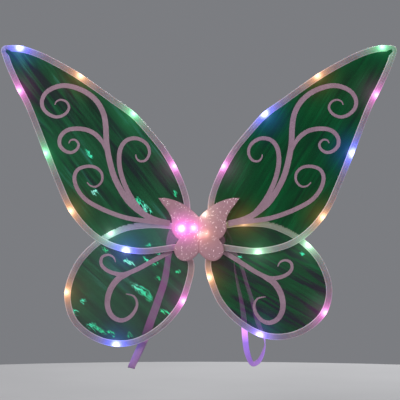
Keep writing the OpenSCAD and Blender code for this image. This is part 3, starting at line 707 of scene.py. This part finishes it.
films = {}
edges = {}
for level, side in WINGS:
    wing = f"{level}_{side}"
    hand = HANDS[side]
    material = iridescent_film(f"{wing}_iridescent", wing, FILM_TONES[side], STREAK_SHARE[wing],
                               OPACITY[wing])
    outline = film_outline(wing, hand)
    bm, edges[wing] = filled(outline, FILM_STEP[level])
    area = sum(f.calc_area() for f in bm.faces)
    for v in bm.verts:
        inside = edges[wing].find((v.co.x, v.co.z, 0))[2]
        v.co.y = SLEEVE_DEPTH[level] + fold_rise(wing, v.co.x, v.co.z) * easing(inside)
    film = piece(f"{wing}_film_sheet", bm, material)
    paint_glow(film, 6 * MM, 0.22, 19 * MM, 0.105, lens_light(wing), fade=1.5)
    # Nearness to a crease: it raises the bump and places the painted glints.
    crumple_and_glint = film.data.attributes.new("crumple_and_glint", "FLOAT", "POINT")
    crumple_and_glint.data.foreach_set("value", [creased(wing, v.co.x, v.co.z)[0] for v in film.data.vertices])
    clear = film.data.attributes.new("clear", "FLOAT", "POINT")
    clear.data.foreach_set("value", [float(level == "upper" and v.co.z < 30 * MM and
                                           inside_loop(LOWER_LOOPS[side], v.co.x, v.co.z))
                                     for v in film.data.vertices])
    solid = film.modifiers.new("thickness", "SOLIDIFY")
    solid.thickness = FILM_THICK
    solid.offset = 0
    films[wing] = film
    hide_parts(f"{wing}_film")
    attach(film, f"{side}_wings")

# Scrolls: curls of dusty pink foil with fine glitter, fused to the front of the films, so they
# follow the film's folds.
CUT_STEP = 4 * MM


def glitter(name, dark, pale, fleck, fleck_size, fleck_share, lit):
    """Glitter foil or cloth: a matt ground with small flat flecks that catch the light, and a painted glint
    glowing in each fleck.
    """
    material, tree, shader = blank(name, Roughness=0.5, Specular_IOR_Level=0.6)
    place = coordinates(tree)
    ground = shade(tree, "TexNoise", {"Vector": place, "Scale": 900.0, "Detail": 3.0}).outputs["Fac"]
    worn = shade(tree, "TexNoise", {"Vector": place, "Scale": 60.0, "Detail": 2.0}).outputs["Fac"]
    base = ramp(tree, math_node(tree, "MULTIPLY_ADD", ground, 0.7, math_node(tree, "MULTIPLY", worn, 0.3)),
                (0.35, dark), (0.65, pale))
    cells = shade(tree, "TexVoronoi", {"Vector": place, "Scale": 1 / fleck_size}, feature="F1")
    chance = shade(tree, "SeparateColor", {"Color": cells.outputs["Color"]}).outputs[0]
    small = math_node(tree, "LESS_THAN", cells.outputs["Distance"], 0.30)
    spark = math_node(tree, "MULTIPLY", math_node(tree, "GREATER_THAN", chance, 1 - fleck_share), small)
    flecked = shade(tree, "Mix", {"Factor": spark}, data_type="RGBA")
    tree.links.new(base, flecked.inputs[6])
    flecked.inputs[7].default_value = (*fleck, 1)
    tree.links.new(flecked.outputs[2], shader.inputs["Base Color"])
    tree.links.new(math_node(tree, "MULTIPLY_ADD", spark, -0.3, 0.5), shader.inputs["Roughness"])
    # Painted glint: each fleck glows in its own colour, scaled by lit.
    twinkle = shade(tree, "Mix", {"Factor": spark}, data_type="RGBA")
    twinkle.inputs[6].default_value = (0, 0, 0, 1)
    twinkle.inputs[7].default_value = (*[lit * c for c in fleck], 1)
    glow_with(tree, shader, twinkle.outputs[2])
    height = math_node(tree, "MULTIPLY_ADD", chance, 0.6, ground)
    tree.links.new(bump(tree, height, 0.15 * MM, 0.5), shader.inputs["Normal"])
    return material


scroll_foil = glitter("glitter_scroll", (0.24, 0.14, 0.19), (0.37, 0.235, 0.305),
                      fleck=(0.70, 0.56, 0.63), fleck_size=0.7 * MM, fleck_share=0.08, lit=0.06)
for level, side in WINGS:
    wing = f"{level}_{side}"
    bm = merged_copy(f"{wing}_scrolls")
    for axis in (Vector((1, 0, 0)), Vector((0, 0, 1))):
        reach = [v.co.dot(axis) for v in bm.verts]
        for k in range(math.ceil(min(reach) / CUT_STEP), math.floor(max(reach) / CUT_STEP) + 1):
            bmesh.ops.bisect_plane(bm, geom=[*bm.verts, *bm.edges, *bm.faces], dist=1e-6,
                                   plane_co=axis * k * CUT_STEP, plane_no=axis)
    for v in bm.verts:
        inside = edges[wing].find((v.co.x, v.co.z, 0))[2]
        v.co.y += fold_rise(wing, v.co.x, v.co.z) * easing(inside)
    scroll = piece(f"{wing}_glitter_scrolls", bm, scroll_foil)
    scroll.data.shade_flat()
    paint_glow(scroll, 8 * MM, 0.10, 16 * MM, 0.10)
    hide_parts(f"{wing}_scrolls")
    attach(scroll, f"{side}_wings")

# Butterfly: glitter cloth on thin foam, cut as a butterfly and creased down the middle, that covers
# the hub. Each half is taped to the pad on its side's root block.
COVER_FRONT = -31.2 * MM
COVER_THICK = 1.1 * MM


def cover_outline():
    """The butterfly's outline, in X and Z, in order round it."""
    bm = merged_copy("butterfly_cover")
    front = min(v.co.y for v in bm.verts) + 0.05 * MM
    rim = {e for e in bm.edges if all(v.co.y < front for v in e.verts)
           and any(f.normal.y > -0.5 for f in e.link_faces)}
    beside = {}
    for e in rim:
        for v in e.verts:
            beside.setdefault(v, []).append(e.other_vert(v))
    walk = [next(iter(beside))]
    while len(walk) < len(beside):
        walk.append(next(v for v in beside[walk[-1]] if v not in walk[-2:]))
    outline = [Vector((v.co.x, v.co.z)) for v in walk]
    bm.free()
    return outline


def half_outline(outline, hand):
    """The part of the outline on one side of the crease, in order round it."""
    kept = [p for p in outline if p.x * hand > 0.05 * MM]
    start = max(range(len(kept)), key=lambda i: (kept[i] - kept[i - 1]).length)
    kept = kept[start:] + kept[:start]
    on_crease = sorted((p.y for p in outline if abs(p.x) <= 0.05 * MM))
    ends = (Vector((0, on_crease[0])), Vector((0, on_crease[-1])))
    if kept[0].y > kept[-1].y:
        kept.reverse()
    return [ends[0], *kept, ends[1]]


glitter_cloth = glitter("glitter_cover", (0.33, 0.165, 0.205), (0.48, 0.255, 0.310),
                        fleck=(1.0, 0.92, 0.95), fleck_size=1.1 * MM, fleck_share=0.08, lit=1.9)
whole_outline = cover_outline()
for side, hand in HANDS.items():
    outline = half_outline(whole_outline, hand)
    bm, edge = filled(outline, 1.3 * MM)
    area = sum(f.calc_area() for f in bm.faces)
    dense_rim = []
    for a, b in zip(outline, outline[1:]):
        dense_rim += [a.lerp(b, k / 6) for k in range(6)]
    rim = edge_tree(dense_rim)
    for v in bm.verts:
        inside = rim.find((v.co.x, v.co.z, 0))[2]
        puff = 1.3 * MM * (1 - math.exp(-inside / (3 * MM)))
        crease = 1.2 * MM * math.exp(-abs(v.co.x) / (3.5 * MM))
        ripple = 0.25 * MM * noise.noise(Vector((v.co.x / 0.014, v.co.z / 0.014, 3.1)))
        v.co.y = COVER_FRONT + 0.9 * MM - puff + crease + ripple * min(inside / (4 * MM), 1)
    cover = piece(f"{side}_butterfly_half", bm, glitter_cloth)
    paint_glow(cover, 4.6 * MM, 2.4, 13 * MM, 0.7, fade=1.4)
    solid = cover.modifiers.new("thickness", "SOLIDIFY")
    solid.thickness = COVER_THICK
    solid.offset = -1
    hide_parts("butterfly_cover")
    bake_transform(cover)

# Hub: moulded root blocks that hold the wire ends, the bracket that they fold on, and the clips that
# hold the elastic. Each is one white moulding with its edges rounded, screwed to the next.


def moulded_plastic(name, dark, pale, roughness, grain):
    material, tree, shader = blank(name, Roughness=roughness, Coat_Weight=0.1)
    place = coordinates(tree)
    cloud = shade(tree, "TexNoise", {"Vector": place, "Scale": 70.0, "Detail": 4.0}).outputs["Fac"]
    pits = shade(tree, "TexNoise", {"Vector": place, "Scale": grain, "Detail": 2.0}).outputs["Fac"]
    tree.links.new(ramp(tree, cloud, (0.3, dark), (0.7, pale)), shader.inputs["Base Color"])
    tree.links.new(math_node(tree, "MULTIPLY_ADD", cloud, 0.2, roughness - 0.1), shader.inputs["Roughness"])
    tree.links.new(bump(tree, pits, 0.06 * MM, 0.5), shader.inputs["Normal"])
    return material


def rounded(node, width, material, body):
    """A moulded part in the shape of its CAD node, with every sharp edge rounded."""
    bm = merged_copy(node)
    bmesh.ops.dissolve_limit(bm, angle_limit=math.radians(1), verts=bm.verts, edges=bm.edges)
    sharp = [e for e in bm.edges if len(e.link_faces) == 2 and e.calc_face_angle() > math.radians(40)]
    bmesh.ops.bevel(bm, geom=sharp, offset=width, segments=2, profile=0.5, affect="EDGES",
                    clamp_overlap=True, material=-1)
    bmesh.ops.triangulate(bm, faces=bm.faces)
    part = piece(f"{node}_moulded", bm, material)
    part.data.shade_flat()
    part.data.set_sharp_from_angle(angle=math.radians(35))
    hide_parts(node)
    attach(part, body)
    return part


hub_plastic = moulded_plastic("hub_plastic", (0.55, 0.53, 0.53), (0.68, 0.66, 0.66), 0.45, 1500.0)
rounded("hub_bracket", 0.4 * MM, hub_plastic, "hub")
for side in HANDS:
    rounded(f"{side}_root_block", 0.5 * MM, hub_plastic, f"{side}_wings")
    rounded(f"{side}_strap_clip", 0.3 * MM, hub_plastic, f"{side}_wings")

# Battery box: a white moulded case, screwed to the back of the bracket, with a door that slides off
# downwards and the black knob of a small slide switch below.
box_plastic = moulded_plastic("box_plastic", (0.66, 0.65, 0.63), (0.78, 0.77, 0.75), 0.32, 2200.0)
rounded("battery_case", 0.5 * MM, box_plastic, "hub")
rounded("battery_door", 0.25 * MM, box_plastic, "door")
knob_plastic = moulded_plastic("knob_plastic", (0.012, 0.012, 0.013), (0.03, 0.03, 0.032), 0.5, 3000.0)
rounded("switch_knob", 0.3 * MM, knob_plastic, "knob")

# Metal, foam and board: wires, pins, screws, contacts, cells, pads and the circuit board. Their shape
# is already the real one, so each only gets its own finish.


def drawn_metal(name, dark, pale, roughness):
    material, tree, shader = blank(name, Metallic=1.0, Roughness=roughness)
    place = coordinates(tree)
    marks = shade(tree, "TexNoise", {"Vector": place, "Scale": 700.0, "Detail": 4.0}).outputs["Fac"]
    tree.links.new(ramp(tree, marks, (0.3, dark), (0.7, pale)), shader.inputs["Base Color"])
    tree.links.new(math_node(tree, "MULTIPLY_ADD", marks, 0.25, roughness - 0.12),
                   shader.inputs["Roughness"])
    tree.links.new(bump(tree, marks, 0.03 * MM, 0.4), shader.inputs["Normal"])
    return material


def cell_sleeve():
    """A cell's shrink sleeve: a gold top third over a dark body."""
    material, tree, shader = blank("cell_wrap", Metallic=0.5, Roughness=0.3, Coat_Weight=0.5)
    height = shade(tree, "SeparateXYZ", {"Vector": coordinates(tree)}).outputs["Z"]
    share = math_node(tree, "DIVIDE", math_node(tree, "ADD", height, 0.03), 0.05)
    band = ramp(tree, share, (0.55, (0.015, 0.016, 0.02)), (0.58, (0.72, 0.48, 0.14)))
    scuffs = shade(tree, "TexNoise", {"Vector": coordinates(tree), "Scale": 400.0,
                                      "Detail": 4.0}).outputs["Fac"]
    tree.links.new(band, shader.inputs["Base Color"])
    tree.links.new(math_node(tree, "MULTIPLY_ADD", scuffs, 0.3, 0.15), shader.inputs["Roughness"])
    return material


def solder_mask():
    material, tree, shader = blank("board", Roughness=0.35, Coat_Weight=0.4)
    tracks = shade(tree, "TexBrick", {"Vector": coordinates(tree, "Object", (1, 1, 1), (math.pi / 2, 0, 0)),
                                      "Scale": 160.0, "Mortar Size": 0.04, "Color1": (0.02, 0.15, 0.06, 1),
                                      "Color2": (0.03, 0.18, 0.08, 1), "Mortar": (0.08, 0.32, 0.14, 1)})
    tree.links.new(tracks.outputs["Color"], shader.inputs["Base Color"])
    tree.links.new(bump(tree, tracks.outputs["Fac"], 0.05 * MM, 0.6), shader.inputs["Normal"])
    return material


def open_foam():
    material, tree, shader = blank("foam_pad", Roughness=0.9)
    cells = shade(tree, "TexVoronoi", {"Vector": coordinates(tree), "Scale": 2500.0}).outputs["Distance"]
    tree.links.new(ramp(tree, cells, (0.1, (0.45, 0.44, 0.42)), (0.6, (0.78, 0.77, 0.74))),
                   shader.inputs["Base Color"])
    tree.links.new(bump(tree, cells, 0.2 * MM, 0.8), shader.inputs["Normal"])
    return material


FINISHES = {
    "steel_wire": drawn_metal("steel_wire", (0.42, 0.42, 0.44), (0.62, 0.62, 0.64), 0.3),
    "copper_wire": drawn_metal("copper_wire", (0.52, 0.44, 0.34), (0.72, 0.66, 0.56), 0.35),
    "plated_steel": drawn_metal("plated_steel", (0.58, 0.58, 0.60), (0.78, 0.78, 0.79), 0.2),
    "cell_wrap": cell_sleeve(),
    "board": solder_mask(),
    "foam_pad": open_foam(),
}
for entry in frame["record"]["subparts"]:
    finish = FINISHES.get(entry["material_slot"])
    if finish:
        for slot in nodes[entry["node"]].material_slots:
            slot.material = finish

# Floor and light: a plain pale floor under the wings, a soft key light from the upper left, a weaker
# fill from the right and one light behind for the wearer's side.
FLOOR_RADIUS = 1.4
FLOOR_HEIGHT = -0.32


def plain_floor():
    material, tree, shader = blank("pale_floor", Roughness=0.8)
    mottle = shade(tree, "TexNoise", {"Vector": coordinates(tree), "Scale": 3.0,
                                      "Detail": 2.0}).outputs["Fac"]
    tree.links.new(ramp(tree, mottle, (0.3, (0.50, 0.50, 0.51)), (0.7, (0.54, 0.54, 0.55))),
                   shader.inputs["Base Color"])
    return material


bm = bmesh.new()
bmesh.ops.create_circle(bm, cap_ends=True, segments=96, radius=FLOOR_RADIUS,
                        matrix=Matrix.Translation((0, 0, FLOOR_HEIGHT)))
floor = piece("floor", bm, plain_floor())


def soft_light(name, place, size, power, colour=(1, 1, 1)):
    light = bpy.data.lights.new(name, "AREA")
    light.shape = "DISK"
    light.size = size
    light.energy = power
    light.color = colour
    lamp = bpy.data.objects.new(name, light)
    lamp.location = place
    lamp.rotation_euler = (Vector((0, 0, 0)) - lamp.location).to_track_quat("-Z", "Y").to_euler()
    bpy.context.collection.objects.link(lamp)


soft_light("key", Vector((-1.6, -2.0, 1.5)), 1.2, 52, (1.0, 0.98, 0.97))
soft_light("fill", Vector((1.9, -1.6, 0.7)), 1.4, 14, (0.95, 0.97, 1.0))
soft_light("back", Vector((0.6, 2.1, 1.4)), 1.4, 32)
world = bpy.data.worlds.new("studio")
bpy.context.scene.world = world
world.use_nodes = True
world.node_tree.nodes["Background"].inputs["Color"].default_value = (0.20, 0.205, 0.22, 1)
